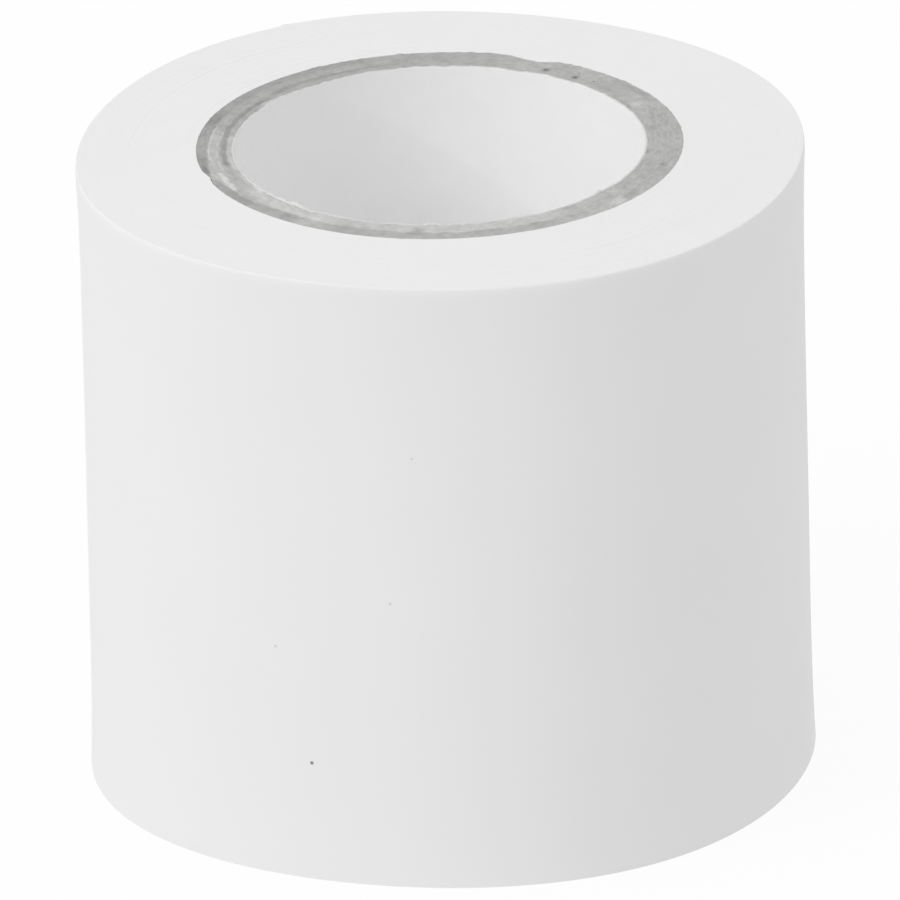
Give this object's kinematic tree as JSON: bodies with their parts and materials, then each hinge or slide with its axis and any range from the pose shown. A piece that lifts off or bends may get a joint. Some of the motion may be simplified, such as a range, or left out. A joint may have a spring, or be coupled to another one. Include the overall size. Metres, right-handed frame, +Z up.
{
  "type": "pvc tape roll",
  "caption": "Roll of white PVC tape on a spiral-wound paper core with a through bore; the free end is stuck down on the outside and peels off about a line along the roll.",
  "frame": {"origin": "centre of the lower end face, on the roll's axis", "axes": "+Z up along the roll's axis, +Y to the side where the tape's free end lies"},
  "size_m": [0.0561, 0.0561, 0.05],
  "materials": {
    "pvc_film": "satin white calendered film",
    "liner_paper": "matt white paper",
    "chipboard": "matt grey board with fibrous cut ends"
  },
  "bodies": {
    "roll": {"core_liner": "liner_paper", "core_ply_1": "chipboard", "core_ply_2": "chipboard", "core_ply_3": "chipboard", "tape_pack": "pvc_film", "tape_outer_turn": "pvc_film"},
    "tail": {"tape_tail": "pvc_film"}
  },
  "joints": [
    {"name": "tail_peel", "type": "hinge", "parent": "roll", "child": "tail", "pos_m": [0.01231, 0.02525, 0.025], "axis": [0, 0, -1], "range_deg": [0, 150]}
  ]
}
